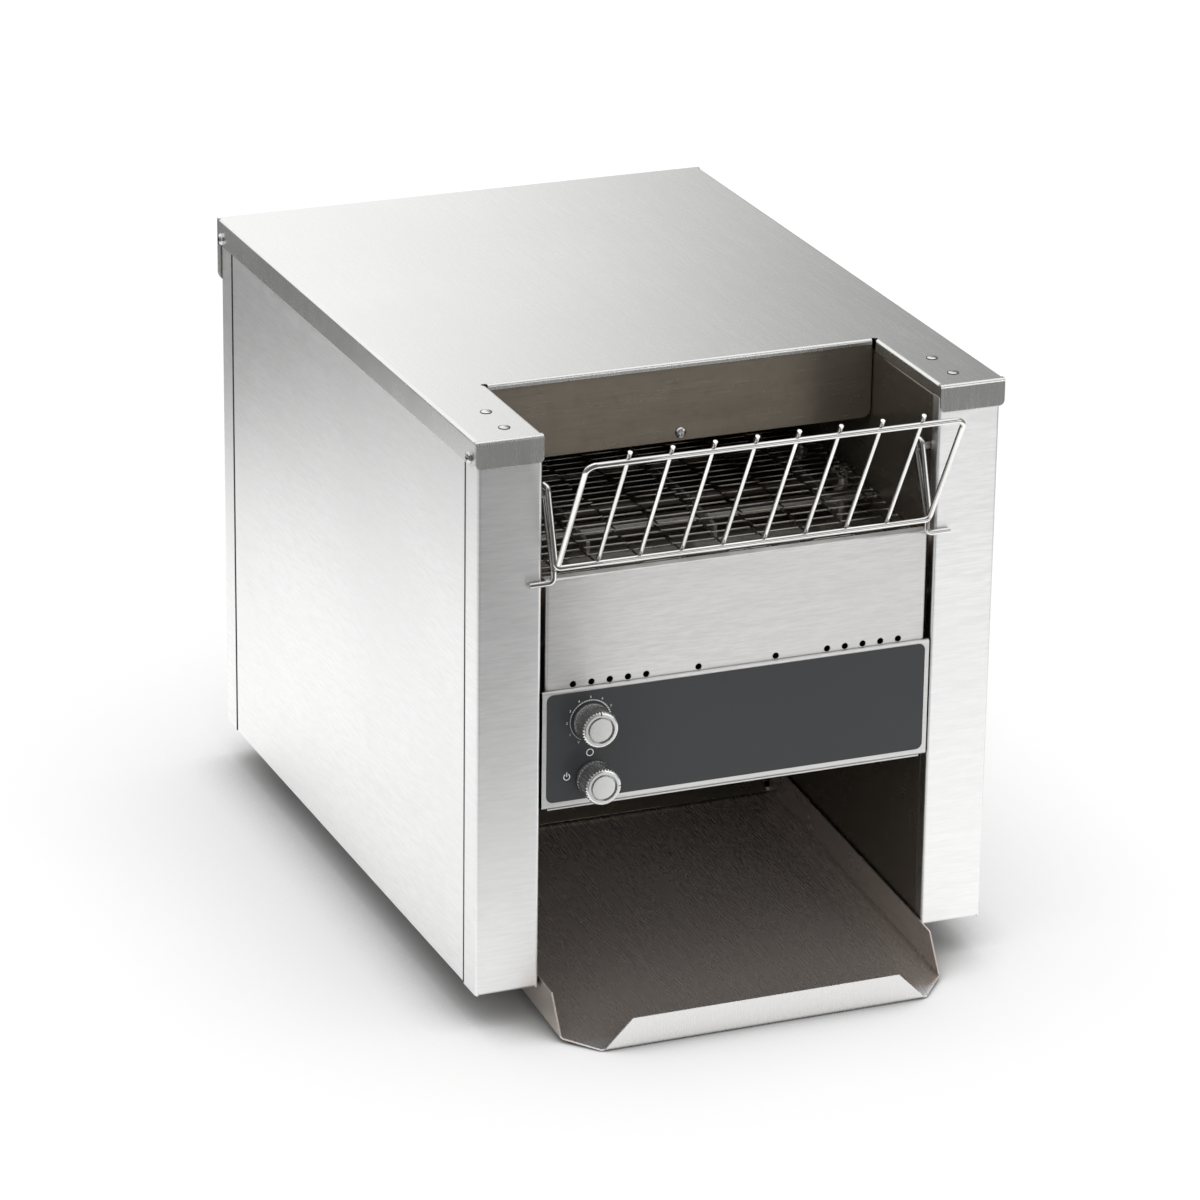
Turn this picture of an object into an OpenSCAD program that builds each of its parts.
// Conveyor toaster for a counter top: a wire belt carries bread under radiant heaters,
// drops it on a return chute behind, and a sloping tray in front takes it.
// Millimetres, +X to the right as the user faces it, +Y to the back, +Z up.
// Inside the modules y = 0 is the front of the cover and z = 0 the underside of the body;
// placed() then stands the feet on z = 0 and centres the footprint on the origin.

/* [Body] */
// Width over the top cover
body_w = 368; // [350:1:400]
// Depth of the top cover, front to back
body_d = 510; // [490:1:560]
// Height from the underside of the body to the top of the cover
body_h = 383; // [375:1:420]
// Height of the feet
foot_h = 25; // [24:0.5:50]
// Diameter of a foot at the floor
foot_d = 22; // [16:1:24]
// Thickness of the folded stainless sheet
sheet = 1.2; // [0.9:0.1:1.5]
// Outside radius of a fold in the sheet
fold_r = 2; // [1.8:0.1:2.6]
// Clearance between two sheets that are fastened together
seam = 0.2; // [0.1:0.05:0.3]

/* [Top cover] */
// How far the cover stands proud of the body on every side
cover_lap = 2.2; // [1.8:0.1:3]
// Height of the folded rim at the sides and front
cover_rim = 18.6; // [14:0.2:24]
// Height of the folded rim at the back
cover_rear_rim = 47; // [30:1:60]
// Width of the two horns beside the feed opening
horn_w = 46; // [42:1:52]
// Depth of the feed opening cut into the cover
feed_d = 103; // [96:1:112]
// Height of the folded edge along each side of the feed opening
feed_edge = 8.5; // [6:0.5:12]
// Corner radius at the lower ends of the rims
rim_corner = 3.5; // [2:0.5:6]

/* [Front] */
// Depth of the side flange of a pillar
pillar_side = 22; // [16:1:28]
// Depth of the inner flange of a pillar
pillar_inner = 9; // [6:1:12]
// Height of the control panel's lower edge
control_z = 125; // [115:1:130]
// Height of the control panel's face
control_h = 81.6; // [76:0.2:84]
// Drop from the level belt to the upper front panel's top edge
upper_drop = 6; // [4:0.5:10]
// Gap between the upper front panel and each pillar
upper_gap = 3.7; // [1:0.1:6]
// Diameter of a vent hole
vent_d = 4.4; // [3:0.1:6]
// Distance between neighbouring vent holes
vent_pitch = 12.75; // [10:0.25:14]
// Vent holes in the group at each end of the panel
vents = 5; // [3:1:5]
// Distance of the outermost vent hole from the end of the panel
vent_edge = 19.3; // [8:0.1:22]
// Distance of the inner pair of vent holes from the middle
vent_inner = 27.3; // [10:0.1:36]
// Height of the plate at the back of the feed opening
plate_h = 53.5; // [44:0.5:60]
// Thickness of the printed control overlay
overlay_t = 0.5; // [0.4:0.1:1]
// Border of bare metal left and right of the overlay
overlay_side = 3.2; // [2:0.1:6]

/* [Knobs] */
// Diameter of a knob over its flutes
knob_d = 25; // [20:0.5:30]
// Length of a knob
knob_l = 18; // [14:0.5:24]
// Flutes around a knob
knob_flutes = 36; // [24:1:48]
// Diameter of a control shaft
spindle_d = 6; // [5:0.1:6.4]
// Running clearance between a shaft and its bush, on the radius
run_fit = 0.05; // [0.02:0.01:0.09]
// Height of the speed knob's axis above the control panel's lower edge
speed_rise = 58.5; // [56:0.5:62]
// Height of the power knob's axis above the control panel's lower edge
power_rise = 18.2; // [17:0.2:20]
// Distance of the speed knob's axis from the control panel's left end
speed_inset = 34.3; // [26:0.1:46]
// Distance of the power knob's axis from the control panel's left end
power_inset = 36.8; // [26:0.1:46]

/* [Wire belt] */
// Diameter of the belt wire, drawn square
wire = 1.3; // [1.0:0.1:1.5]
// Teeth of a belt sprocket, a multiple of four
belt_teeth = 12; // [12:4:16]
// Belt pitch, strand to strand
pitch = 10; // [9.6:0.1:10.4]
// Spacing of the columns of Z bends across the belt
space_w = 30; // [26:1:30]
// Gap between the belt and each inner wall
belt_side = 7; // [6:0.5:8]
// Drop from the top of the cover to the level run of the belt
belt_drop = 94.5; // [92:0.5:98]
// Distance of the rear shaft from the front of the cover
drive_y = 425; // [415:1:430]
// Where the level run starts, behind the sloping feed run
bend_y = 112; // [106:1:118]
// Slope of the feed run
feed_slope = 6.5; // [5:0.1:7.5]
// Distance of the front shaft from the front of the cover
idler_y = 27; // [26:0.5:30]
// Radius at which the wires turn round the front rollers
idler_r = 12; // [11:0.5:13]
// Diameter of both belt shafts
shaft_d = 12; // [10:0.5:14]

/* [Feed rack] */
// Diameter of the rack's rail wire
rail_wire = 3.8; // [3:0.1:4.2]
// Diameter of the rack's cross wires
cross_wire = 3; // [2.4:0.1:3.4]
// Gap between the bottom rail and each inner wall
rack_side = 7; // [6:0.5:8]
// Height of the bottom rail above the belt
rack_lift = 5; // [3:0.5:8]
// Height of the pegs that the rack hangs on above the bottom rail
peg_rise = 44; // [36:1:50]
// How far the top rail stands in front of the cover
rack_reach = 52; // [40:1:54]
// Rise from the bottom rail to the top rail
rack_rise = 84.5; // [70:0.5:88]
// Bend radius of the top rail's two corners
rail_bend = 6.5; // [5:0.5:12]
// Cross wires of the rack
rack_wires = 8; // [6:1:10]

/* [Tray and chute] */
// How far the tray stands out in front of the cover
tray_reach = 56.5; // [54.5:0.5:80]
// Slope of the tray's floor, down to the front
tray_slope = 4.5; // [3.5:0.1:5]
// Length of the tray along its floor
tray_l = 306; // [290:1:308]
// Height of the tray's side walls
tray_wall = 25; // [16:0.5:28]
// Height of the tray's front lip
tray_lip = 20.5; // [14:0.5:24]
// Clearance between the tray and the walls beside it
tray_gap = 1.5; // [1:0.1:2.5]
// Clearance of the tray's front above the counter
tray_float = 0.5; // [0.3:0.1:2]
// Slope of the return chute
chute_slope = 32; // [28:1:36]
// Radius of the return chute's curve
chute_r = 90; // [70:1:100]

/* [Heaters] */
// Diameter of a heater element
heater_d = 8; // [6:0.5:10]
// Heater elements above the belt, and as many below it
heaters = 4; // [3:1:5]
// Height of the upper elements above the belt
heater_rise = 60; // [56:1:64]
// Distance from each end of the level run to the nearest element
heater_margin = 40; // [30:1:60]
// How far an element's ends stand out of the inner walls
heater_end = 14; // [12:1:20]
// Wall of the ceramic tubes that carry the elements
insulator_wall = 4; // [3:0.5:5]

/* [Drive and controls] */
// Distance of the motor's shaft from the front of the cover
motor_y = 268; // [262:1:276]
// Teeth of the motor's chain sprocket
motor_teeth = 12; // [11:1:13]
// Teeth of the chain sprocket on the rear belt shaft
shaft_teeth = 16; // [15:1:18]
// Distance of the control housing's back from the front of the cover
housing_y1 = 330; // [322:1:338]
// Width and height of the cooling fan
fan_size = 80; // [70:1:90]
// Thickness of the cooling fan
fan_depth = 25; // [20:1:28]
// Distance of the fan's axis from the front of the cover
fan_y = 150; // [140:1:170]

/* [Hidden] */
$fn = 48;
// Overlap of two shapes that join into one piece
eps = 0.01;
steel = "lightgray";
bright = "gainsboro";
dark = "dimgray";

// Outer faces of the body under the cover, and the middle of the footprint
side_x = body_w / 2 - cover_lap;
front_y = cover_lap;
back_y = body_d - cover_lap;
mid_y = (body_d - tray_reach) / 2;
// Underside of the cover's sheet, where the panels end
roof_z = body_h - sheet - seam;
// Floor of the base pan and its back edge
pan_top = sheet;
pan_y1 = back_y - sheet - seam;

// Inner walls, in line with the sides of the feed opening
open_x = body_w / 2 - horn_w;
wall_x = open_x + sheet;
wall_y0 = front_y + pillar_inner + seam;
wall_y1 = back_y - sheet - seam;
wall_top = body_h - feed_edge - seam;
wall_flange = 12;
wall_foot = 6;

// Side panels, between the pillars and the folded sides of the rear panel
panel_gap = 0.8;
panel_lip = 10;
panel_y0 = front_y + pillar_side + panel_gap;
panel_y1 = back_y - pillar_side - panel_gap;

// Rivets on the horns, and screws through the side rims
rivet_d = 3.2;
rivet_head = 14;
rivet_in = 18.7;
rivet_x = open_x + rivet_in;
rivet_y = [22, 54];
screw_d = 4;
screw_hole = 4.2;
screw_head = 8;
cover_screw_y0 = front_y + 9;
cover_screw_y1 = back_y - 8;
cover_screw_z = body_h - cover_rim / 2 - 4;

// Louvres in the rear panel, in three columns
louvre_w = 60;
louvre_d = 9;
louvre_pitch = 13;
louvre_n = 6;
louvre_z = 130;
louvre_step = 95;
louvre_x = [-louvre_step, 0, louvre_step];

// Feet under the sides, and the studs that hold them
foot_front = 84;
foot_back = 80;
foot_stud = 6;
foot_nut = 11;
foot_x = open_x + foot_d / 2 + 2.2;
foot_y = [foot_front, body_d - foot_back];

// Plate at the back of the feed opening, hung from the cover
plate_top = roof_z - 0.1;
plate_z = plate_top - plate_h;
plate_screw_z = plate_z + 5.6;

// Wire belt: the hooks of the strands, and the columns where they cross
hook_gap = 0.12;
ease = 3;
belt_z = body_h - belt_drop;
belt_hw = open_x - belt_side;
strand_d = pitch + 2 * wire;
strand_low = strand_d / 2 * sin(bend_tilt()) + wire / 2;
columns = floor((belt_hw - wire) / space_w);
column_x = [for (i = [-columns:columns]) i * space_w];
// Sideways shift between neighbouring strands, so that their steps lie side by side
strand_shift = wire + 0.5;

// Belt shafts: the rear one lies under the level run, the front one below the feed run
sprocket_r = pitch * belt_teeth / (2 * PI);
drive_z = belt_z - sprocket_r;
idler_z = belt_z - (bend_y - idler_y) * tan(feed_slope) - idler_r / cos(feed_slope);
shaft_end = 6;
bush_wall = 3;
bush_d = shaft_d + 2 * bush_wall;
bush_flange = 2.5;
roller_l = 16;
tooth_w = 6;
hub_wall = 4;
hub_l = 12;
// Spaces between columns, counted from the middle, that take a sprocket or a roller
sprocket_cols = [for (i = [0:columns - 1]) 2 * i + 0.5 - columns];
roller_cols = [for (c = [0.5 - columns, 2.5 - columns]) each [c, -c]];

// Lengths along the loop: level run, feed run, front bend, return run, rear bend
front_len = (bend_y - idler_y) / cos(feed_slope) + idler_r * tan(feed_slope);
shaft_gap = norm([drive_y - idler_y, drive_z - idler_z]);
low_angle = atan2(drive_z - idler_z, drive_y - idler_y)
            - asin((sprocket_r - idler_r) / shaft_gap);
low_len = sqrt(pow(shaft_gap, 2) - pow(sprocket_r - idler_r, 2));
len_drive = (180 - low_angle) * PI / 180 * sprocket_r;
len_idler = (180 - feed_slope + low_angle) * PI / 180 * idler_r;
l1 = drive_y - bend_y;
l2 = l1 + front_len;
l3 = l2 + len_idler;
l4 = l3 + low_len;
belt_l = l4 + len_drive;
strands = 2 * round(belt_l / pitch / 2);
step = belt_l / strands;

// Rails under the belt, and the two bars that carry them
rail_h = 8;
rail_t = 2.5;
rail_in = 8;
rail_top = belt_z - strand_low - 0.25;
rail_y1 = drive_y - sprocket_r - 10;
rail_cols = [1 - columns, 0, columns - 1];
bar_w = 12;
bar_t = 4;

// Front panels: the control panel stands proud of the upper one
control_top = control_z + control_h;
control_y = front_y - 0.2;
control_gap = 1.1;
upper_y = front_y + 2.2;
upper_hw = open_x - upper_gap;
upper_top_z = belt_z - upper_drop;
vent_z = control_top + vent_d / 2 + 0.3;
vent_x = concat([for (i = [0:vents - 1]) vent_edge - upper_hw + i * vent_pitch],
                [-vent_inner, vent_inner],
                [for (i = [0:vents - 1]) upper_hw - vent_edge - i * vent_pitch]);

// Knobs: the skirt stands just clear of the overlay
knob_y = control_y - overlay_t - 0.6;
flute_depth = 0.9;
knob_ring = 3.2;
groove_w = 1.5;
groove_h = 2.2;
spindle_seat = 5.2;
bush_neck_d = 9;
nut_h = 2;
nut_room = 15;
speed_x = open_x - speed_inset;
speed_z = control_z + speed_rise;
power_x = open_x - power_inset;
power_z = control_z + power_rise;

// Control housing between the inner walls, and what stands on its floor
housing_y0 = upper_y + sheet + seam;
housing_z = control_z + sheet + seam;
housing_top = drive_z - sprocket_r - 14;
housing_lip = 9;
board_size = 90;
board_t = 1.6;
board_x = 5;
board_y = 60;
board_post = 8;
post_inset = 6;
coil_size = 30;
coil_h = 18;
coil_off = 10;
cap_d = 18;
cap_h = 24;
cap_off = 25;
terminal_w = 60;
terminal_d = 26;
terminal_h = 20;
terminal_back = 34;
terminal_pitch = 12;

// Feed rack, its bottom rail just in front of the pillars
rack_hw = open_x - rack_side;
rack_y = front_y - rail_wire / 2 - 0.5;
rack_z = belt_z + rack_lift;
rack_top_y = -rack_reach;
rack_top_z = rack_z + rack_rise;
rack_pitch = 2 * (rack_hw - rail_wire / 4) / (rack_wires + 1);
loop_bend = 3.4;
rack_foot = 16.5;
foot_drop = 11;
peg_d = 5;
peg_y = wall_y0 + peg_d / 2 + 1.1;
peg_z = rack_z + peg_rise;
// The straights of a wire are a hair thinner than its bends and tuck into them
tuck = 0.3;
thin = 0.02;

// Heaters, between the reflectors above and below the belt
heater_top_z = belt_z + heater_rise;
heater_low_z = drive_z - 1;
heater_y0 = bend_y + heater_margin;
heater_y1 = rail_y1 - heater_margin;
heater_y = [for (i = [0:heaters - 1]) heater_y0 + i * (heater_y1 - heater_y0) / (heaters - 1)];
insulator_d = heater_d + 2 * insulator_wall;
insulator_lip = 2.2;
insulator_l = 8;
reflector_gap = 14;

// Tray and chute: the tray's back rests on a ledge of the base pan
tray_back = 34;
tray_rest_y = tray_l * cos(tray_slope) - tray_reach - tray_back;
tray_under_z = tray_float - foot_h;
tray_chamfer = 22;
tray_slant = 19;
ledge_z = tray_under(tray_rest_y) - seam - sheet;
ledge_side = 6;
chute_y1 = wall_y1 - sheet - 4;
chute_top = drive_z - 20;

// Motor and chain, on the right of the right inner wall
motor_z = (housing_z + housing_top) / 2;
gearbox_w = 33;
gearbox_d = 76;
gearbox_h = 60;
motor_d = 56;
motor_l = 62;
motor_boss_d = 22;
motor_shaft_d = 8;
motor_shaft_l = 20;
chain_pitch = 6.35;
chain_x = wall_x + 15;
sprocket_t = 2.6;
plate_t = 1;
link_h = 5.6;
chain_dy = drive_y - motor_y;
chain_dz = drive_z - motor_z;
chain_gap = norm([chain_dy, chain_dz]);
chain_lean = atan2(chain_dz, chain_dy);
chain_flare = asin((sprocket_pitch_r(shaft_teeth) - sprocket_pitch_r(motor_teeth)) / chain_gap);

// Cooling fan, on the left of the left inner wall
fan_x = wall_x + seam;
fan_z = (housing_z + housing_top) / 2;
fan_bore = fan_size - 6;
fan_hub = 34;
fan_seat = 36;
fan_pin = 4;
fan_screws = fan_size * 0.895;

// Power inlet at the bottom left of the back
inlet_x = -95;
inlet_z = 52;
inlet_w = 28;
inlet_h = 32;
inlet_screws = 40;
inlet_plate_w = 50;
inlet_plate_h = 38;
inlet_depth = 22;
socket_w = 23.5;
socket_h = 25;
socket_depth = 16;

// ---- general shapes -------------------------------------------------------

module placed() {
    translate([0, -mid_y, foot_h]) children();
}

// A profile in (y, z) drawn out from x0 to x1
module along_x(x0, x1) {
    translate([x0, 0, 0]) rotate([90, 0, 90]) linear_extrude(x1 - x0) children();
}

// A profile in (x, z) drawn out from y0 to y1
module along_y(y0, y1) {
    translate([0, y1, 0]) rotate([90, 0, 0]) linear_extrude(y1 - y0) children();
}

// A profile in (x, y) drawn out from z0 to z1
module along_z(z0, z1) {
    translate([0, 0, z0]) linear_extrude(z1 - z0) children();
}

module block(x0, x1, y0, y1, z0, z1) {
    translate([x0, y0, z0]) cube([x1 - x0, y1 - y0, z1 - z0]);
}

module both_sides() {
    children();
    mirror([1, 0, 0]) children();
}

module rounded(w, h, r) {
    square([w - 2 * r, h], center = true);
    square([w, h - 2 * r], center = true);
    for (sx = [-1, 1], sy = [-1, 1])
        translate([sx * (w / 2 - r), sy * (h / 2 - r)]) circle(r);
}

// What a rounded corner takes off a square one: the corner is at the origin
module corner_waste(r) {
    difference() {
        translate([-1, -1]) square(r + 1);
        translate([r, r]) circle(r);
    }
}

// ---- folded sheet ---------------------------------------------------------

function unit(v) = v / norm(v);
function leftward(v) = [-v[1], v[0]];
function turned(v, a) = [v[0] * cos(a) - v[1] * sin(a), v[0] * sin(a) + v[1] * cos(a)];

// Points and normals of one fold of radius r at p1, on the way from p0 to p2
function fold(p0, p1, p2, r, steps) =
    let (d1 = unit(p1 - p0), d2 = unit(p2 - p1),
         side = sign(d1[0] * d2[1] - d1[1] * d2[0]),
         turn = acos(d1 * d2),
         start = p1 - d1 * r * tan(turn / 2),
         centre = start + leftward(d1) * side * r)
    [for (i = [0:steps])
        let (n = turned(leftward(d1), side * turn * i / steps))
        [centre - n * side * r, n]];

function fold_line(pts, radii, steps) =
    let (last = len(pts) - 1)
    concat([[pts[0], leftward(unit(pts[1] - pts[0]))]],
           [for (i = [1:last - 1])
               each fold(pts[i - 1], pts[i], pts[i + 1], radii[i - 1], steps)],
           [[pts[last], leftward(unit(pts[last] - pts[last - 1]))]]);

// The section of a sheet folded along pts, its thickness on the left of the way along
module folded(pts, t = sheet, r = fold_r, radii = [], steps = 5) {
    all = len(radii) > 0 ? radii : [for (i = [2:len(pts) - 1]) r];
    way = fold_line(pts, all, steps);
    polygon(concat([for (w = way) w[0]],
                   [for (i = [len(way) - 1:-1:0]) way[i][0] + way[i][1] * t]));
}

// ---- screws ---------------------------------------------------------------

// A pan head with a cross recess, its seat at z = 0 and its shank below
module pan_screw(head_d, head_h, shank_d, shank_l) {
    slot = head_d * 0.14;
    difference() {
        rotate_extrude() polygon([[0, 0], [head_d / 2, 0], [head_d / 2, head_h * 0.35],
            [head_d * 0.42, head_h * 0.75], [head_d * 0.25, head_h], [0, head_h]]);
        for (a = [0, 90])
            rotate(a) translate([-head_d * 0.28, -slot / 2, head_h * 0.4])
                cube([head_d * 0.56, slot, head_h]);
    }
    translate([0, 0, -shank_l]) cylinder(d = shank_d, h = shank_l + eps);
}

// ---- top cover ------------------------------------------------------------

module side_profile() {
    folded([[side_x + cover_lap, body_h - cover_rim], [side_x + cover_lap, body_h],
            [-side_x - cover_lap, body_h], [-side_x - cover_lap, body_h - cover_rim]]);
}

module front_rim(x0, x1) {
    along_x(x0, x1) folded([[fold_r * 2, body_h], [0, body_h], [0, body_h - cover_rim]]);
}

module rim_corners() {
    low = body_h - cover_rim;
    full = body_w / 2;
    both_sides() {
        // front rim of a horn, both ends
        along_y(-1, sheet + 0.2) {
            translate([-full, low]) corner_waste(rim_corner);
            translate([-open_x, low]) mirror([1, 0]) corner_waste(rim_corner);
        }
        // side rim, front and back ends
        along_x(-full - 1, -full + sheet + eps) {
            translate([sheet + 0.4, low]) corner_waste(rim_corner);
            translate([body_d - sheet - 0.4, low]) mirror([1, 0]) corner_waste(rim_corner);
        }
        along_y(body_d - sheet - 0.2, body_d + 1)
            translate([-full, body_h - cover_rear_rim]) corner_waste(rim_corner * 2);
    }
}

module top_cover() {
    relief = sheet + 1;
    placed() color(bright) difference() {
        union() {
            difference() {
                along_y(sheet + 0.4, body_d - sheet - 0.4) side_profile();
                block(-open_x - fold_r, open_x + fold_r, -1, feed_d + fold_r,
                      body_h - 10, body_h + 1);
            }
            front_rim(-body_w / 2, -open_x);
            front_rim(open_x, body_w / 2);
            along_x(-body_w / 2, body_w / 2) mirror([1, 0]) translate([-body_d, 0])
                folded([[fold_r * 2, body_h], [0, body_h], [0, body_h - cover_rear_rim]]);
            // folded edges round the feed opening
            both_sides() along_y(fold_r, feed_d)
                folded([[open_x, body_h - feed_edge], [open_x, body_h],
                    [open_x + fold_r * 2, body_h]], t = -sheet);
            along_x(-open_x, open_x) mirror([1, 0]) translate([-feed_d, 0])
                folded([[0, body_h - 4], [0, body_h], [-fold_r * 2, body_h]]);
        }
        rim_corners();
        both_sides() {
            translate([open_x + 0.6, feed_d + 0.6, body_h - 12]) cylinder(r = relief, h = 14);
            for (y = rivet_y)
                translate([rivet_x, y, body_h - 3]) cylinder(d = rivet_d, h = 4);
            for (y = [cover_screw_y0, cover_screw_y1])
                translate([body_w / 2 - 3, y, cover_screw_z]) rotate([0, 90, 0])
                    cylinder(d = screw_hole + 0.2, h = 6);
        }
    }
}

module cover_rivets() {
    placed() color(bright) both_sides() for (y = rivet_y)
        translate([rivet_x, y, body_h]) {
            difference() {
                translate([0, 0, -6]) sphere(d = rivet_head, $fn = 64);
                translate([0, 0, -15]) cube([20, 20, 30], center = true);
            }
            translate([0, 0, -sheet - 2]) cylinder(d = rivet_d - 0.1, h = sheet + 2 + eps);
            translate([0, 0, -sheet - 2]) cylinder(d = rivet_d + 2, h = 1.8);
        }
}

module cover_screws() {
    placed() color(bright) both_sides() for (y = [cover_screw_y0, cover_screw_y1])
        translate([body_w / 2 + 0.05, y, cover_screw_z]) rotate([0, 90, 0])
            pan_screw(screw_head, 2.4, screw_d, 8);
}

// ---- body panels ----------------------------------------------------------

module cover_screw_hole(y) {
    translate([side_x - 3, y, cover_screw_z]) rotate([0, 90, 0]) cylinder(d = screw_hole, h = 6);
}

module pillar() {
    difference() {
        union() {
            difference() {
                along_z(0, roof_z) folded([[-open_x, front_y + pillar_inner],
                    [-open_x, front_y], [-side_x, front_y],
                    [-side_x, front_y + pillar_side]], t = -sheet);
                block(-side_x + fold_r, -open_x - fold_r, 0, front_y + pillar_side - 2,
                      -1, fold_r + 1);
            }
            // foot of the pillar, folded in under it
            along_x(-side_x + fold_r, -open_x - fold_r)
                folded([[front_y + pillar_side - 3, 0], [front_y, 0],
                        [front_y, fold_r + 1 + eps]], t = -sheet);
        }
        mirror([1, 0, 0]) cover_screw_hole(cover_screw_y0);
        // room for the folded edge of the feed opening
        block(-open_x - sheet - 0.6, -open_x + 1, 0, front_y + pillar_inner + 1,
              wall_top, body_h);
    }
}

module left_pillar() {
    placed() color(steel) pillar();
}

module right_pillar() {
    placed() color(steel) mirror([1, 0, 0]) pillar();
}

module side_panel() {
    along_z(pan_top + seam, roof_z)
        folded([[panel_lip - side_x, panel_y1], [-side_x, panel_y1],
                [-side_x, panel_y0], [panel_lip - side_x, panel_y0]]);
}

module left_side_panel() {
    placed() color(steel) side_panel();
}

module right_side_panel() {
    placed() color(steel) mirror([1, 0, 0]) side_panel();
}

// A pressed louvre: a slot under a half-round hood that opens downwards
module louvre_hood() {
    rotate([0, 90, 0]) intersection() {
        difference() {
            cylinder(d = louvre_d, h = louvre_w, center = true);
            cylinder(d = louvre_d - 1.6, h = louvre_w - 4, center = true);
        }
        translate([-5, 2.6, -louvre_w]) cube([5, 3, 2 * louvre_w]);
    }
}

function louvre_rows(n) = [for (i = [0:n - 1]) i * louvre_pitch];

module rear_panel() {
    placed() color(steel) difference() {
        union() {
            along_z(pan_top + seam, roof_z)
                folded([[side_x, back_y - pillar_side], [side_x, back_y],
                        [-side_x, back_y], [-side_x, back_y - pillar_side]]);
            for (x = louvre_x, z = louvre_rows(louvre_n))
                translate([x, back_y - 2.7, louvre_z + z]) louvre_hood();
        }
        for (x = louvre_x, z = louvre_rows(louvre_n))
            block(x - louvre_w / 2 + 2, x + louvre_w / 2 - 2, back_y - 4, back_y + eps,
                  louvre_z + z - 0.2, louvre_z + z + 3);
        both_sides() cover_screw_hole(cover_screw_y1);
        // opening for the power inlet
        block(inlet_x - inlet_w / 2, inlet_x + inlet_w / 2, back_y - 3, back_y + 1,
              inlet_z - inlet_h / 2, inlet_z + inlet_h / 2);
        for (x = [-1, 1])
            translate([inlet_x + x * inlet_screws / 2, back_y - 3, inlet_z])
                rotate([-90, 0, 0]) cylinder(d = 3.4, h = 5);
    }
}

// ---- base -----------------------------------------------------------------

module base_pan() {
    cut_y = -tray_reach + tray_l * cos(tray_slope) + 4;
    hw = side_x - sheet - seam;
    placed() color(dark) {
        difference() {
            block(-hw, hw, front_y + pillar_side - 2.8, pan_y1, 0, pan_top);
            block(-wall_x + 0.4, wall_x - 0.4, 0, cut_y + sheet, -1, 2);
            both_sides() for (y = foot_y)
                translate([foot_x, y, -1]) cylinder(d = foot_stud + 0.2, h = 4);
        }
        // stepped ledge that the back of the tray rests on
        along_x(ledge_side - open_x, open_x - ledge_side)
            folded([[tray_rest_y, ledge_z], [cut_y, ledge_z], [cut_y, pan_top - eps]],
                   r = 1.8);
        block(ledge_side - open_x, open_x - ledge_side, cut_y - sheet,
              cut_y + sheet + eps, 0, pan_top);
    }
}

module feet() {
    placed() color("black") both_sides() for (y = foot_y) translate([foot_x, y, 0]) {
        rotate_extrude() polygon([[0, -foot_h], [foot_d / 2 - 1.5, -foot_h],
            [foot_d / 2, -foot_h + 1.5], [foot_d / 2, -foot_h + 6],
            [foot_d / 2 - 3, -seam], [0, -seam]]);
        translate([0, 0, -seam - eps]) cylinder(d = foot_stud, h = sheet + 6);
        translate([0, 0, pan_top + seam]) cylinder(d = foot_nut, h = 4, $fn = 6);
    }
}

// ---- inner walls ----------------------------------------------------------

module across(y, z, d, x0 = open_x - 2, x1 = wall_x + 2) {
    translate([x0, y, z]) rotate([0, 90, 0]) cylinder(d = d, h = x1 - x0);
}

module inner_wall() {
    difference() {
        along_y(wall_y0, wall_y1)
            folded([[open_x + wall_foot, pan_top + seam], [open_x, pan_top + seam],
                    [open_x, wall_top], [open_x + wall_flange, wall_top]], t = -sheet);
        across(drive_y, drive_z, bush_d + 0.1);
        across(idler_y, idler_z, bush_d + 0.1);
        for (y = heater_y) {
            across(y, heater_top_z, insulator_d + 0.1);
            across(y, heater_low_z, insulator_d + 0.1);
        }
        across(peg_y, peg_z, peg_d + 0.2);
    }
}

module left_inner_wall() {
    placed() color(dark) difference() {
        mirror([1, 0, 0]) inner_wall();
        // air inlet of the cooling fan
        mirror([1, 0, 0]) across(fan_y, fan_z, fan_bore);
    }
}

module right_inner_wall() {
    placed() color(dark) difference() {
        inner_wall();
        across(motor_y, motor_z, motor_boss_d + 0.4);
    }
}

module feed_back_plate() {
    y = feed_d + sheet + seam;
    placed() color(dark) difference() {
        along_y(y, y + sheet) translate([0, (plate_z + plate_top) / 2])
            rounded(2 * open_x - 1.2, plate_top - plate_z, 6);
        translate([0, y - 1, plate_screw_z]) rotate([-90, 0, 0])
            cylinder(d = screw_hole, h = 4);
    }
}

module plate_screw() {
    placed() color(bright) translate([0, feed_d + sheet + seam - 0.05, plate_screw_z])
        rotate([90, 0, 0]) pan_screw(screw_head - 0.4, 2.2, screw_d, 7);
}

// ---- front panels ---------------------------------------------------------

module upper_front_panel() {
    return_d = 8;
    z0 = control_top - 3.4;
    placed() color(bright) difference() {
        union() {
            along_x(-upper_hw, upper_hw)
                folded([[upper_y + return_d, upper_top_z], [upper_y, upper_top_z],
                        [upper_y, z0]]);
            both_sides() along_z(z0, upper_top_z - fold_r - 0.4)
                folded([[upper_hw, upper_y + return_d], [upper_hw, upper_y],
                        [upper_hw - 6, upper_y]], t = -sheet);
        }
        both_sides() along_z(z0 - 1, upper_top_z - fold_r - 0.4) difference() {
            translate([upper_hw - fold_r, upper_y - 1]) square([fold_r + 1, fold_r + 1]);
            translate([upper_hw - fold_r, upper_y + fold_r]) circle(fold_r);
        }
        for (x = vent_x)
            translate([x, upper_y - 1, vent_z]) rotate([-90, 0, 0])
                cylinder(d = vent_d, h = 4);
    }
}

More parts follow.
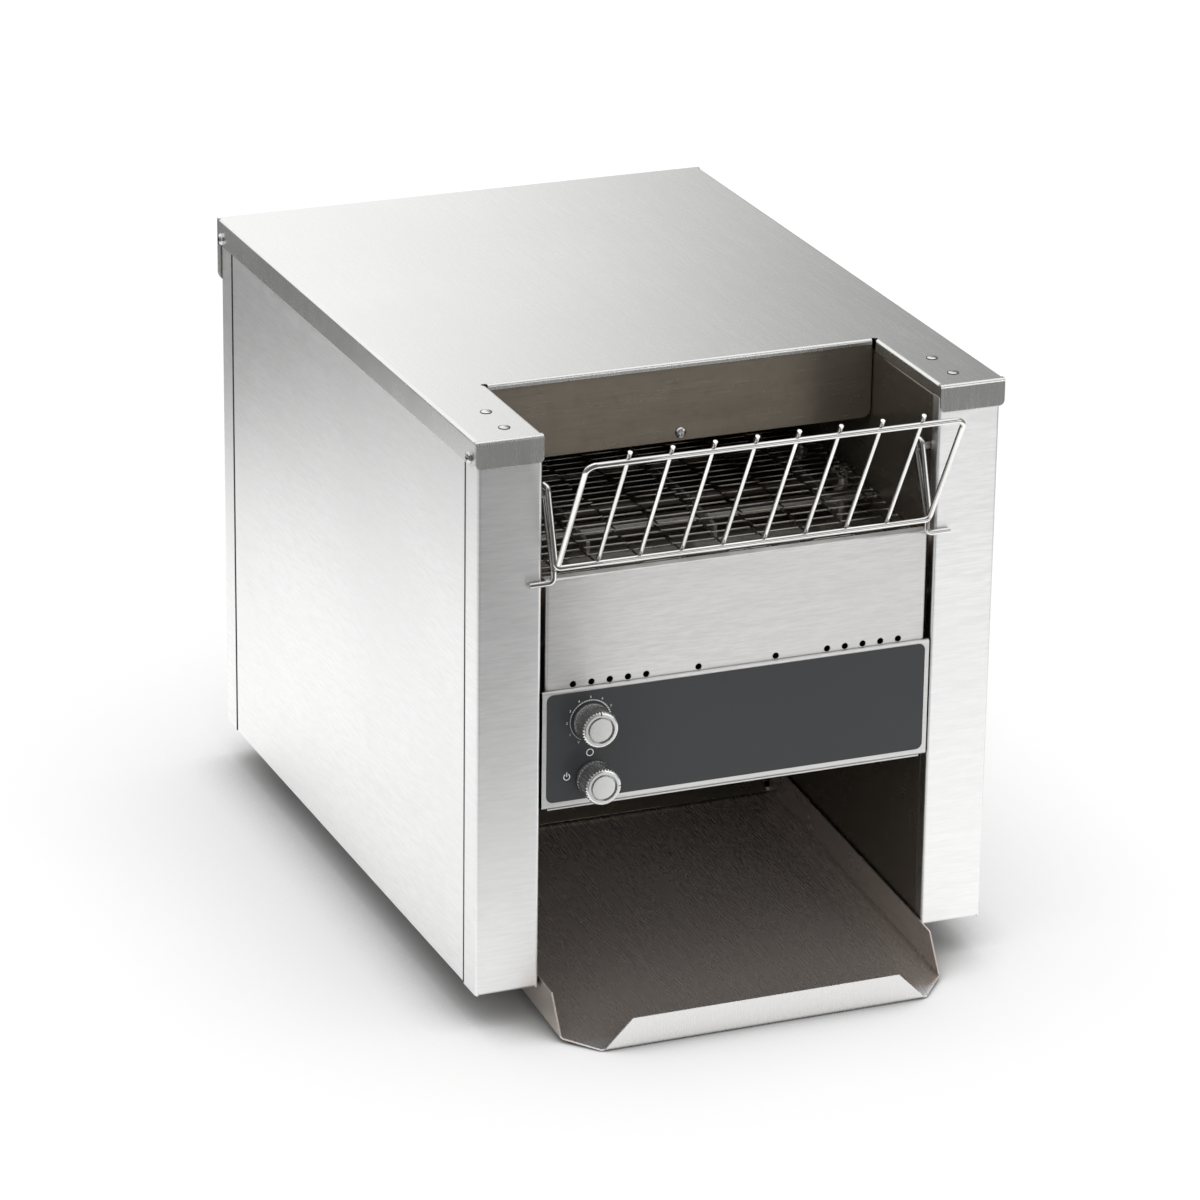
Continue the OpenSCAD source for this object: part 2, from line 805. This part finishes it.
module control_panel() {
    return_d = 12;
    placed() color(bright) difference() {
        along_x(control_gap - open_x, open_x - control_gap)
            folded([[upper_y - seam, control_top], [control_y, control_top],
                    [control_y, control_z], [control_y + return_d, control_z]],
                   radii = [1.9, fold_r]);
        spindle_hole(speed_x, speed_z, bush_neck_d + 0.2);
        spindle_hole(power_x, power_z, bush_neck_d + 0.2);
    }
}

module spindle_hole(x, z, d) {
    translate([-x, control_y - 3, z]) rotate([-90, 0, 0]) cylinder(d = d, h = 8);
}

module control_overlay() {
    z0 = control_z + 4.4;
    z1 = control_top - 2.4;
    placed() color([0.22, 0.23, 0.24]) difference() {
        along_y(control_y - overlay_t, control_y) translate([0, (z0 + z1) / 2])
            rounded(2 * (open_x - control_gap - overlay_side), z1 - z0, 4.5);
        spindle_hole(speed_x, speed_z, bush_neck_d + 0.2);
        spindle_hole(power_x, power_z, bush_neck_d + 0.2);
    }
}

// ---- knobs and their controls ---------------------------------------------

// Outline with a rounded flute at each step round the rim
module fluted(r, depth, n) {
    polygon([for (i = [0:n * 6 - 1])
        let (a = i * 360 / (n * 6)) (r - depth * (0.5 + 0.5 * cos(a * n))) * [cos(a), sin(a)]]);
}

// Knob along +Z with its back at z = 0: a plain skirt, flutes, and a crowned ring round a disc
module knob() {
    r = knob_d / 2;
    disc_r = knob_d * 0.31;
    skirt = 2.6;
    difference() {
        union() {
            cylinder(r = r - 0.2, h = skirt);
            translate([0, 0, skirt - 0.1]) linear_extrude(knob_l - knob_ring - skirt + 0.1)
                fluted(r, flute_depth, knob_flutes);
            translate([0, 0, knob_l - knob_ring]) intersection() {
                linear_extrude(knob_ring) fluted(r, flute_depth, knob_flutes);
                rotate_extrude() polygon([[0, -1], [r + 1, -1], [r + 1, 0.8], [r, 1.8],
                    [r - 0.9, knob_ring - 0.3], [r - 1.7, knob_ring], [disc_r + groove_w, knob_ring],
                    [disc_r + groove_w, knob_ring - 0.3], [0, knob_ring - 0.3]]);
            }
        }
        // groove round the flat disc in the middle
        translate([0, 0, knob_l - groove_h]) difference() {
            cylinder(r = disc_r + groove_w, h = groove_h + 1);
            translate([0, 0, -1]) cylinder(r = disc_r, h = groove_h + 3);
        }
        // pointer notch in the rim
        translate([-0.5, r - 2.6, knob_l - 1.2]) cube([1, 4, 3]);
        // room for the bush nut, and the bore on the spindle
        translate([0, 0, -1]) cylinder(d = nut_room, h = nut_h + 2.2);
        translate([0, 0, -1]) cylinder(d = spindle_d + 0.1, h = knob_l - 4);
    }
}

module spindle() {
    translate([0, 0, -16]) cylinder(d = spindle_d, h = 16 + knob_l - spindle_seat);
}

// Threaded bush, its nut and the case behind the panel, with the shaft along +Z
module control_case(w, h, depth) {
    back = control_y - knob_y + sheet;
    difference() {
        union() {
            translate([0, 0, -back - seam]) cylinder(d = bush_neck_d, h = back + seam + nut_h - 0.3);
            translate([-w / 2, -h / 2, -back - seam - depth]) cube([w, h, depth]);
            translate([0, 0, 0.1 - 0.6]) cylinder(d = 13, h = nut_h, $fn = 6);
        }
        translate([0, 0, -16.5]) cylinder(r = spindle_d / 2 + run_fit, h = 30);
    }
}

module at_control(x, z) {
    translate([-x, knob_y, z]) rotate([90, 0, 0]) children();
}

module speed_knob() {
    placed() color("silver") at_control(speed_x, speed_z) knob();
}

module speed_spindle() {
    placed() color("white") at_control(speed_x, speed_z) spindle();
}

module speed_regulator() {
    placed() color("darkslategray") at_control(speed_x, speed_z) control_case(26, 26, 20);
}

module power_knob() {
    placed() color("silver") at_control(power_x, power_z) rotate(-90) knob();
}

module power_spindle() {
    placed() color("white") at_control(power_x, power_z) spindle();
}

module power_switch() {
    placed() color("ivory") at_control(power_x, power_z) control_case(30, 28, 24);
}

// ---- control housing ------------------------------------------------------

module control_housing() {
    x = open_x - seam;
    placed() color(dark) along_x(-x, x)
        folded([[housing_y0 + 1, housing_z], [housing_y1, housing_z],
                [housing_y1, housing_top], [housing_y0 + housing_lip, housing_top]]);
}

module control_board() {
    z = housing_z + sheet + board_post;
    half = board_size / 2;
    mid = board_y + half;
    post = half - post_inset;
    placed() {
        color("darkgreen") block(board_x - half, board_x + half, mid - half, mid + half,
                                 z, z + board_t);
        color("darkgreen") for (x = [-post, post], y = [-post, post])
            translate([board_x + x, mid + y, z - board_post + 0.1])
                cylinder(d = post_inset, h = board_post);
        // transformer and smoothing capacitor
        color("black") translate([board_x - coil_off, mid - coil_off, z + board_t + coil_h / 2])
            cube([coil_size, coil_size, coil_h + 2 * eps], center = true);
        color("gold") translate([board_x + cap_off, mid - coil_off, z + board_t])
            cylinder(d = cap_d, h = cap_h);
    }
}

module terminal_block() {
    z = housing_z + sheet + 0.1;
    y1 = housing_y1 - terminal_back;
    y0 = y1 - terminal_d;
    placed() color("ivory") difference() {
        block(-terminal_w / 2, terminal_w / 2, y0, y1, z, z + terminal_h);
        for (i = [-2:2]) {
            translate([i * terminal_pitch, y0 + 8, z + 8]) cylinder(d = 6, h = terminal_h);
            translate([i * terminal_pitch, y0 - 10, z + 10]) rotate([-90, 0, 0])
                cylinder(d = 5, h = 24);
        }
    }
}

// ---- feed rack ------------------------------------------------------------

module rod(a, b, d) {
    v = b - a;
    translate(a) rotate([0, acos(v[2] / norm(v)), atan2(v[1], v[0])]) cylinder(d = d, h = norm(v));
}

// How far a bend of radius r starts before the corner i of a wire
function bend_angle(p, i) = acos(unit(p[i] - p[i - 1]) * unit(p[i + 1] - p[i]));
function bend_start(p, i, r) = i == 0 || i == len(p) - 1 ? 0 : r * tan(bend_angle(p, i) / 2);

// A round wire along pts, bent to radius r at every corner
module bent_wire(pts, d, r) {
    last = len(pts) - 1;
    for (i = [0:last - 1]) {
        u = unit(pts[i + 1] - pts[i]);
        rod(pts[i] + u * (bend_start(pts, i, r) - (i > 0 ? tuck : 0)),
            pts[i + 1] - u * (bend_start(pts, i + 1, r) - (i < last - 1 ? tuck : 0)),
            d - 2 * thin);
    }
    for (i = [1:last - 1]) {
        u = unit(pts[i] - pts[i - 1]);
        z = unit(cross(u, pts[i + 1] - pts[i]));
        x = cross(u, z);
        c = pts[i] - u * bend_start(pts, i, r) - x * r;
        multmatrix([[x[0], u[0], z[0], c[0]], [x[1], u[1], z[1], c[1]],
                    [x[2], u[2], z[2], c[2]], [0, 0, 0, 1]])
            rotate_extrude(angle = bend_angle(pts, i)) translate([r, 0]) circle(d = d);
    }
}

function across_middle(pts) =
    concat([for (i = [len(pts) - 1:-1:0]) [-pts[i][0], pts[i][1], pts[i][2]]], pts);

module feed_rack() {
    rail_y = rack_y - rail_wire - 0.3;
    loop_z = peg_z + peg_d / 2 + rail_wire / 2 + 0.8;
    foot_z = rack_z - foot_drop;
    // bottom rail, the loop that hangs on a peg, and the foot that bears on the pillar
    loop = [[rack_hw, rail_y, rack_z], [rack_hw, peg_y - 3.6, loop_z],
            [rack_hw, peg_y + 7.6, loop_z], [rack_hw, rack_y, rack_z - 2.5],
            [rack_hw, rack_y, foot_z], [rack_hw + rack_foot, rack_y, foot_z]];
    ends = (rack_wires + 1) / 2;
    bottom = [ends * rack_pitch, rail_y, rack_z];
    top = [bottom[0], rack_top_y, rack_top_z];
    lean = unit(top - bottom);
    back = cross([1, 0, 0], lean) * -(rail_wire / 2 + cross_wire / 2 - 0.4);
    placed() color(bright) {
        bent_wire(across_middle(loop), rail_wire, loop_bend);
        bent_wire(across_middle([top, bottom + lean * (rail_wire + 0.15)]), rail_wire, rail_bend);
        for (i = [1 - ends:1:ends - 1])
            rod([i * rack_pitch, bottom[1], bottom[2]] + back - lean * 1.2,
                [i * rack_pitch, top[1], top[2]] + back + lean * 5.4, cross_wire);
    }
}

module rack_pegs() {
    placed() color(bright) both_sides() {
        across(peg_y, peg_z, peg_d, open_x - 10, wall_x + 3);
        across(peg_y, peg_z, peg_d + 4, wall_x + 0.1, wall_x + 2.5);
    }
}

// ---- wire belt ------------------------------------------------------------

// Place on the loop at length s from the top of the sprocket, forwards along the top:
// [y, z, heading], the heading being the angle of travel in the (y, z) plane
function belt_at(s) =
    s < l1 ? [drive_y - s, belt_z, 180]
    : s < l2 ? [bend_y - (s - l1) * cos(feed_slope), belt_z - (s - l1) * sin(feed_slope),
                180 + feed_slope]
    : s < l3 ? let (a = 90 + feed_slope + (s - l2) / idler_r * 180 / PI)
        [idler_y + idler_r * cos(a), idler_z + idler_r * sin(a), a + 90]
    : s < l4 ? let (a = 270 + low_angle, u = s - l3)
        [idler_y + idler_r * cos(a) + u * cos(low_angle),
         idler_z + idler_r * sin(a) + u * sin(low_angle), a + 90]
    : let (a = 270 + low_angle + (s - l4) / sprocket_r * 180 / PI)
        [drive_y + sprocket_r * cos(a), drive_z + sprocket_r * sin(a), a + 90];

// Tilt of the strands on a curve of radius r, so that each one's leading wires pass outside
// the next strand, with ease for the strands where the curve begins
function wrap_tilt(r) =
    let (a = pitch / r * 90 / PI,
         need = wire / 2 * (1 + cos(2 * a) + sin(2 * a)) + hook_gap)
    asin((need + strand_d / 2 * sin(2 * a)) / (2 * r * sin(a))) - a + ease;
// Tilt of the strands on a straight, and where the feed run bends into the level run
function flat_tilt() = asin((wire + hook_gap) / pitch);
function bend_tilt() = wrap_tilt(pitch * 180 / PI / feed_slope);

// Tilt of the strand at length s along the loop
function strand_tilt(s) =
    s > l2 - pitch && s < l3 + pitch ? wrap_tilt(idler_r)
    : abs(s - l1) < pitch ? bend_tilt()
    : s > l4 - pitch / 2 || s < pitch / 2 ? wrap_tilt(sprocket_r)
    : flat_tilt();

// One strand: a wire that steps to and fro at every column, flat on z = 0
module strand() {
    h = strand_d / 2;
    e = wire / 2;
    lower = [for (i = [0:2 * columns])
        let (s = i % 2 == 0 ? 1 : -1, x = column_x[i])
        each [[x - s * e, s * h - e], [x - s * e, -s * h - e]]];
    upper = [for (i = [2 * columns:-1:0])
        let (s = i % 2 == 0 ? 1 : -1, x = column_x[i])
        each [[x + s * e, e - s * h], [x + s * e, e + s * h]]];
    polygon(concat([[-belt_hw, h + e], [-belt_hw, -h / 2], [-belt_hw + wire, -h / 2],
                    [-belt_hw + wire, h - e]],
        lower,
        [[belt_hw, -h - e], [belt_hw, h / 2], [belt_hw - wire, h / 2], [belt_hw - wire, e - h]],
        upper));
}

module wire_belt() {
    placed() color("silver") for (i = [0:strands - 1]) {
        s = i * step;
        p = belt_at(s);
        translate([(i % 2 - 0.5) * strand_shift, p[0], p[1]]) rotate([p[2] - strand_tilt(s), 0, 0])
            translate([0, 0, -wire / 2]) linear_extrude(wire) strand();
    }
}

// ---- shafts, sprockets and rollers ----------------------------------------

// A shaft or anything round it, drawn along +Z from its left end
module along_shaft(x, y, z) {
    translate([x, y, z]) rotate([0, 90, 0]) children();
}

module drive_shaft() {
    x1 = chain_x + 9;
    placed() color("gray") along_shaft(-wall_x - shaft_end, drive_y, drive_z)
        cylinder(d = shaft_d, h = x1 + wall_x + shaft_end);
}

// Toothed wheel that carries the trailing wires of the strands in its hollows
module belt_sprocket() {
    tilt = wrap_tilt(sprocket_r);
    dy = strand_d / 2 * cos(tilt);
    dz = sprocket_r - strand_d / 2 * sin(tilt);
    r = norm([dy, dz]);
    difference() {
        cylinder(r = r + 0.6, h = tooth_w, center = true);
        for (i = [0:belt_teeth - 1])
            rotate(90 - atan2(dy, dz) + i * 360 / belt_teeth) translate([r + 0.4, 0, 0])
                cylinder(r = wire / 2 + 1.2, h = tooth_w + 2, center = true);
        cylinder(d = shaft_d + 0.04, h = tooth_w + 2, center = true);
    }
    difference() {
        cylinder(d = shaft_d + 2 * hub_wall, h = hub_l, center = true);
        cylinder(d = shaft_d + 0.04, h = hub_l + 2, center = true);
    }
}

// In the spaces between columns where the strands' wires trail
module belt_sprockets() {
    placed() color("gray") for (c = sprocket_cols)
        translate([c * space_w, drive_y, drive_z]) rotate([90, 0, 90]) belt_sprocket();
}

module front_shaft() {
    placed() color("gray") along_shaft(-wall_x - shaft_end, idler_y, idler_z)
        cylinder(d = shaft_d, h = 2 * (wall_x + shaft_end));
}

module front_rollers() {
    r = idler_r * cos(wrap_tilt(idler_r)) - wire / 2 - 0.4;
    placed() color("gray") for (c = roller_cols)
        along_shaft(c * space_w, idler_y, idler_z) difference() {
            cylinder(r = r, h = roller_l, center = true);
            cylinder(d = shaft_d + 0.04, h = roller_l + 2, center = true);
        }
}

// Flanged bush in an inner wall
module bush(y, z) {
    along_shaft(open_x - 1.6, y, z) difference() {
        union() {
            cylinder(d = bush_d, h = sheet + 3.6);
            cylinder(d = bush_d + 2 * bush_flange, h = 1.5);
        }
        translate([0, 0, -1]) cylinder(r = shaft_d / 2 + run_fit, h = 10);
    }
}

module shaft_bushes() {
    placed() color("peru") both_sides() {
        bush(drive_y, drive_z);
        bush(idler_y, idler_z);
    }
}

// ---- belt support ---------------------------------------------------------

module belt_rails() {
    hang = (bend_y - idler_y) * 0.55;
    slope_y = bend_y - hang;
    drop = hang * tan(feed_slope);
    placed() color(dark) for (c = rail_cols)
        along_x(c * space_w + rail_in, c * space_w + rail_in + rail_t)
            polygon([[slope_y, rail_top - drop], [bend_y, rail_top], [rail_y1, rail_top],
                     [rail_y1, rail_top - rail_h], [bend_y, rail_top - rail_h],
                     [slope_y, rail_top - rail_h - drop]]);
}

// Two bars from wall to wall that carry the rails
module bend_bar() {
    half = bar_w / 2;
    placed() color(dark) for (y = [bend_y - half - 2, rail_y1 - bar_w]) {
        drop = y < bend_y ? (bend_y - y + half) * tan(feed_slope) : 0;
        z = rail_top - rail_h - 0.1 - drop;
        block(seam - open_x, open_x - seam, y - half, y + half, z - bar_t, z);
    }
}

// ---- heaters --------------------------------------------------------------

module heater_row(z) {
    for (y = heater_y)
        along_shaft(-wall_x - heater_end, y, z)
            cylinder(d = heater_d, h = 2 * (wall_x + heater_end));
}

module upper_heaters() {
    placed() color("orangered") heater_row(heater_top_z);
}

module lower_heaters() {
    placed() color("orangered") heater_row(heater_low_z);
}

module heater_insulators() {
    placed() color("white") both_sides() for (y = heater_y, z = [heater_top_z, heater_low_z])
        along_shaft(open_x - insulator_lip - seam, y, z) difference() {
            union() {
                cylinder(d = insulator_d, h = sheet + insulator_l);
                cylinder(d = insulator_d + 2, h = insulator_lip);
            }
            translate([0, 0, -1]) cylinder(d = heater_d + 0.2, h = sheet + insulator_l + 2);
        }
}

module upper_reflector() {
    y0 = feed_d + 2 * sheet + 2 * seam;
    z0 = plate_z + 2;
    z1 = heater_top_z + heater_d / 2 + reflector_gap;
    placed() color("silver") difference() {
        along_x(-open_x + seam, open_x - seam)
            folded([[rail_y1 + 14, z0 + 10], [rail_y1 + 14, z1], [y0, z1], [y0, z0]]);
        translate([0, y0 - 1, plate_screw_z]) rotate([-90, 0, 0]) cylinder(d = screw_hole, h = 4);
    }
}

// Under the belt: it rises behind the front shaft and steps down behind the bend's bar
module lower_reflector() {
    y0 = idler_y + idler_r + 3.5;
    y1 = bend_y - bar_w * 1.5;
    z0 = idler_z - idler_r + strand_low + 2.6;
    z1 = rail_top - rail_h - bar_t - 5.2 - (bend_y - y0) * tan(feed_slope) * 0.5;
    placed() color("silver") along_x(seam - open_x, open_x - seam)
        folded([[y0, z0], [y0, z1], [y1, z1], [y1 + bar_w, z0], [rail_y1 + bar_w / 2, z0]],
               t = -0.8, r = 2.2);
}

// ---- return chute and tray ------------------------------------------------

function tray_under(y) = tray_under_z + (y + tray_reach) * tan(tray_slope);

module return_chute() {
    low_y = tray_rest_y + 30;
    low_z = tray_under(low_y) + sheet / cos(tray_slope) + 2.2;
    knee_z = low_z + (chute_y1 - low_y) * tan(chute_slope);
    // the curve ends below the top of the chute's back
    r = min(chute_r, (chute_top - knee_z - 2) / tan((90 - chute_slope) / 2));
    placed() color(dark) intersection() {
        along_x(-open_x + seam, open_x - seam)
            folded([[low_y, low_z], [chute_y1, knee_z], [chute_y1, chute_top]],
                   t = -sheet, radii = [r], steps = 14);
        union() {
            block(-open_x, open_x, tray_rest_y + tray_back + 4, body_d, 0, body_h);
            block(ledge_side - open_x, open_x - ledge_side, 0, body_d, 0, body_h);
        }
    }
}

module product_tray() {
    hw = open_x - tray_gap;
    placed() color("silver") {
        translate([0, -tray_reach, tray_under_z]) rotate([tray_slope, 0, 0]) difference() {
            along_y(0, tray_l)
                folded([[-hw, tray_wall], [-hw, 0], [hw, 0], [hw, tray_wall]]);
            // corners cut off the floor
            along_z(-1, 4) both_sides_2d() polygon([[hw - tray_chamfer, -1], [hw + 1, -1],
                [hw + 1, tray_chamfer + 3.5]]);
            // front ends of the side walls slope back
            along_x(-hw - 1, hw + 1) polygon([[-1, 2], [tray_chamfer + 2, 2],
                [tray_chamfer + 2 + tray_slant, tray_wall + 1], [-1, tray_wall + 1]]);
            along_z(-1, 4) translate([-hw, -1]) square([2 * hw, 1 + sheet]);
        }
        intersection() {
            along_x(-hw + tray_chamfer, hw - tray_chamfer)
                folded([[-tray_reach + 8, tray_under(-tray_reach + 8)],
                        [-tray_reach, tray_under_z], [-tray_reach, tray_under_z + tray_lip]],
                       t = -sheet);
            along_y(-tray_reach - 1, -tray_reach + 12)
                polygon([[-hw + tray_chamfer, tray_under_z - 1], [hw - tray_chamfer, tray_under_z - 1],
                         [hw - tray_chamfer, tray_under_z + 1],
                         [hw - tray_chamfer - tray_lip + 1, tray_under_z + tray_lip],
                         [-hw + tray_chamfer + tray_lip - 1, tray_under_z + tray_lip],
                         [-hw + tray_chamfer, tray_under_z + 1]]);
        }
    }
}

module both_sides_2d() {
    children();
    mirror([1, 0]) children();
}

// ---- drive ----------------------------------------------------------------

function sprocket_pitch_r(n) = chain_pitch / (2 * sin(180 / n));

// Gearbox against the right inner wall, its boss through the wall and the motor on its left
module gearmotor() {
    x1 = open_x - 1;
    x0 = x1 - gearbox_w;
    placed() color("slategray") translate([0, motor_y, motor_z]) {
        block(x0, x1, -gearbox_d / 2, gearbox_d / 2, -gearbox_h / 2, gearbox_h / 2);
        along_shaft(x1 - eps, 0, 0) cylinder(d = motor_boss_d, h = sheet + 4);
        along_shaft(x0 - motor_l, 0, 0) cylinder(d = motor_d, h = motor_l + eps);
        along_shaft(x0 - motor_l - 4, 0, 0) cylinder(d = 20, h = 5);
    }
}

// Chain sprocket round the X axis with its hub to the right, hollowed for the chain's rollers
module chain_sprocket(n, hub_d, hub_l) {
    r = sprocket_pitch_r(n);
    rotate([90, 0, 90]) difference() {
        union() {
            cylinder(r = r + 1.2, h = sprocket_t, center = true);
            translate([0, 0, -sprocket_t / 2]) cylinder(d = hub_d, h = hub_l);
        }
        for (i = [0:n - 1])
            rotate(i * 360 / n) translate([r, 0, 0]) cylinder(d = 3.7, h = 6, center = true);
    }
}

module motor_sprocket() {
    placed() color("gray") translate([0, motor_y, motor_z]) {
        translate([chain_x, 0, 0]) chain_sprocket(motor_teeth, motor_shaft_d + 7, 9);
        along_shaft(wall_x + 5, 0, 0) cylinder(d = motor_shaft_d, h = motor_shaft_l);
    }
}

module shaft_sprocket() {
    placed() color("gray") translate([chain_x, drive_y, drive_z]) difference() {
        chain_sprocket(shaft_teeth, shaft_d + 2 * hub_wall, 8);
        along_shaft(-4, 0, 0) cylinder(d = shaft_d + 0.04, h = 14);
    }
}

// The chain's outline as a band: two straights tangent to both sprockets
module chain_band(grow) {
    r1 = sprocket_pitch_r(motor_teeth) + grow;
    r2 = sprocket_pitch_r(shaft_teeth) + grow;
    circle(r1);
    translate([chain_gap, 0]) circle(r2);
    a = 90 + chain_flare;
    polygon([r1 * [cos(a), sin(a)], [chain_gap + r2 * cos(a), r2 * sin(a)],
             [chain_gap + r2 * cos(a), -r2 * sin(a)], [r1 * cos(a), -r1 * sin(a)]]);
}

// The chain's two rows of side plates, one on each side of the sprockets
module drive_chain() {
    placed() color("dimgray") translate([chain_x, motor_y, motor_z]) rotate([chain_lean, 0, 0])
        rotate([90, 0, 90]) for (x = [-1, 1])
            translate([0, 0, x * 2.4 - plate_t / 2]) linear_extrude(plate_t) difference() {
                chain_band(link_h / 2);
                chain_band(-link_h / 2);
            }
}

// ---- cooling fan ----------------------------------------------------------

module at_fan() {
    translate([-fan_x, fan_y, fan_z]) rotate([0, -90, 0]) children();
}

module fan_frame() {
    hole = fan_screws / 2;
    placed() color("black") at_fan() {
        difference() {
            linear_extrude(fan_depth) rounded(fan_size, fan_size, 4);
            translate([0, 0, -1]) cylinder(d = fan_bore, h = fan_depth + 2);
            for (x = [-hole, hole], y = [-hole, hole])
                translate([x, y, -1]) cylinder(d = 4.3, h = fan_depth + 2);
        }
        // motor seat on three struts
        difference() {
            cylinder(d = fan_seat, h = 4);
            translate([0, 0, -1]) cylinder(r = fan_pin / 2 + run_fit, h = 8);
        }
        for (a = [30, 150, 270]) rotate(a)
            translate([fan_seat / 2 - 1, -2, 0]) cube([fan_bore / 2 - fan_seat / 2 + 2, 4, 3]);
    }
}

// Hub with seven raked blades, turning on a pin in the frame's seat
module fan_impeller() {
    blade_l = fan_bore / 2 - 0.5 - 15 + 17.5;
    placed() color("dimgray") at_fan() {
        translate([0, 0, 5]) cylinder(d = fan_hub, h = fan_depth - 7);
        translate([0, 0, 0.5]) cylinder(d = fan_pin, h = 6);
        for (i = [0:6]) rotate(i * 360 / 7) translate([15, 0, 6 + (fan_depth - 9) / 2])
            rotate([38, 0, 0]) cube([blade_l, 2, 16], center = true);
    }
}

// ---- power inlet ----------------------------------------------------------

// Three-pin inlet: a flange with two screw holes, and a socket with its blades inside
module power_inlet() {
    placed() color("black") translate([inlet_x, back_y, inlet_z]) {
        difference() {
            union() {
                along_y(0.05, 2) rounded(inlet_plate_w, inlet_plate_h, 4);
                along_y(-inlet_depth, 0.1) rounded(inlet_w - 0.4, inlet_h - 0.4, 2);
            }
            along_y(-socket_depth, 3) rounded(socket_w, socket_h, 3);
            for (x = [-inlet_screws / 2, inlet_screws / 2])
                translate([x, -1, 0]) rotate([-90, 0, 0]) cylinder(d = 3.4, h = 5);
        }
        for (p = [[0, 4.5], [-7, -3.5], [7, -3.5]])
            translate([p[0] - 2, -socket_depth - 0.1, p[1] - 1]) cube([4, socket_depth - 3, 2]);
    }
}

top_cover();
left_side_panel();
right_side_panel();
left_pillar();
right_pillar();
rear_panel();
base_pan();
left_inner_wall();
right_inner_wall();
feed_back_plate();
upper_front_panel();
control_panel();
control_overlay();
control_housing();
speed_knob();
speed_spindle();
speed_regulator();
power_knob();
power_spindle();
power_switch();
control_board();
terminal_block();
feed_rack();
rack_pegs();
wire_belt();
drive_shaft();
belt_sprockets();
front_shaft();
front_rollers();
shaft_bushes();
belt_rails();
bend_bar();
upper_heaters();
lower_heaters();
heater_insulators();
upper_reflector();
lower_reflector();
return_chute();
product_tray();
gearmotor();
motor_sprocket();
shaft_sprocket();
drive_chain();
fan_frame();
fan_impeller();
feet();
cover_screws();
cover_rivets();
plate_screw();
power_inlet();
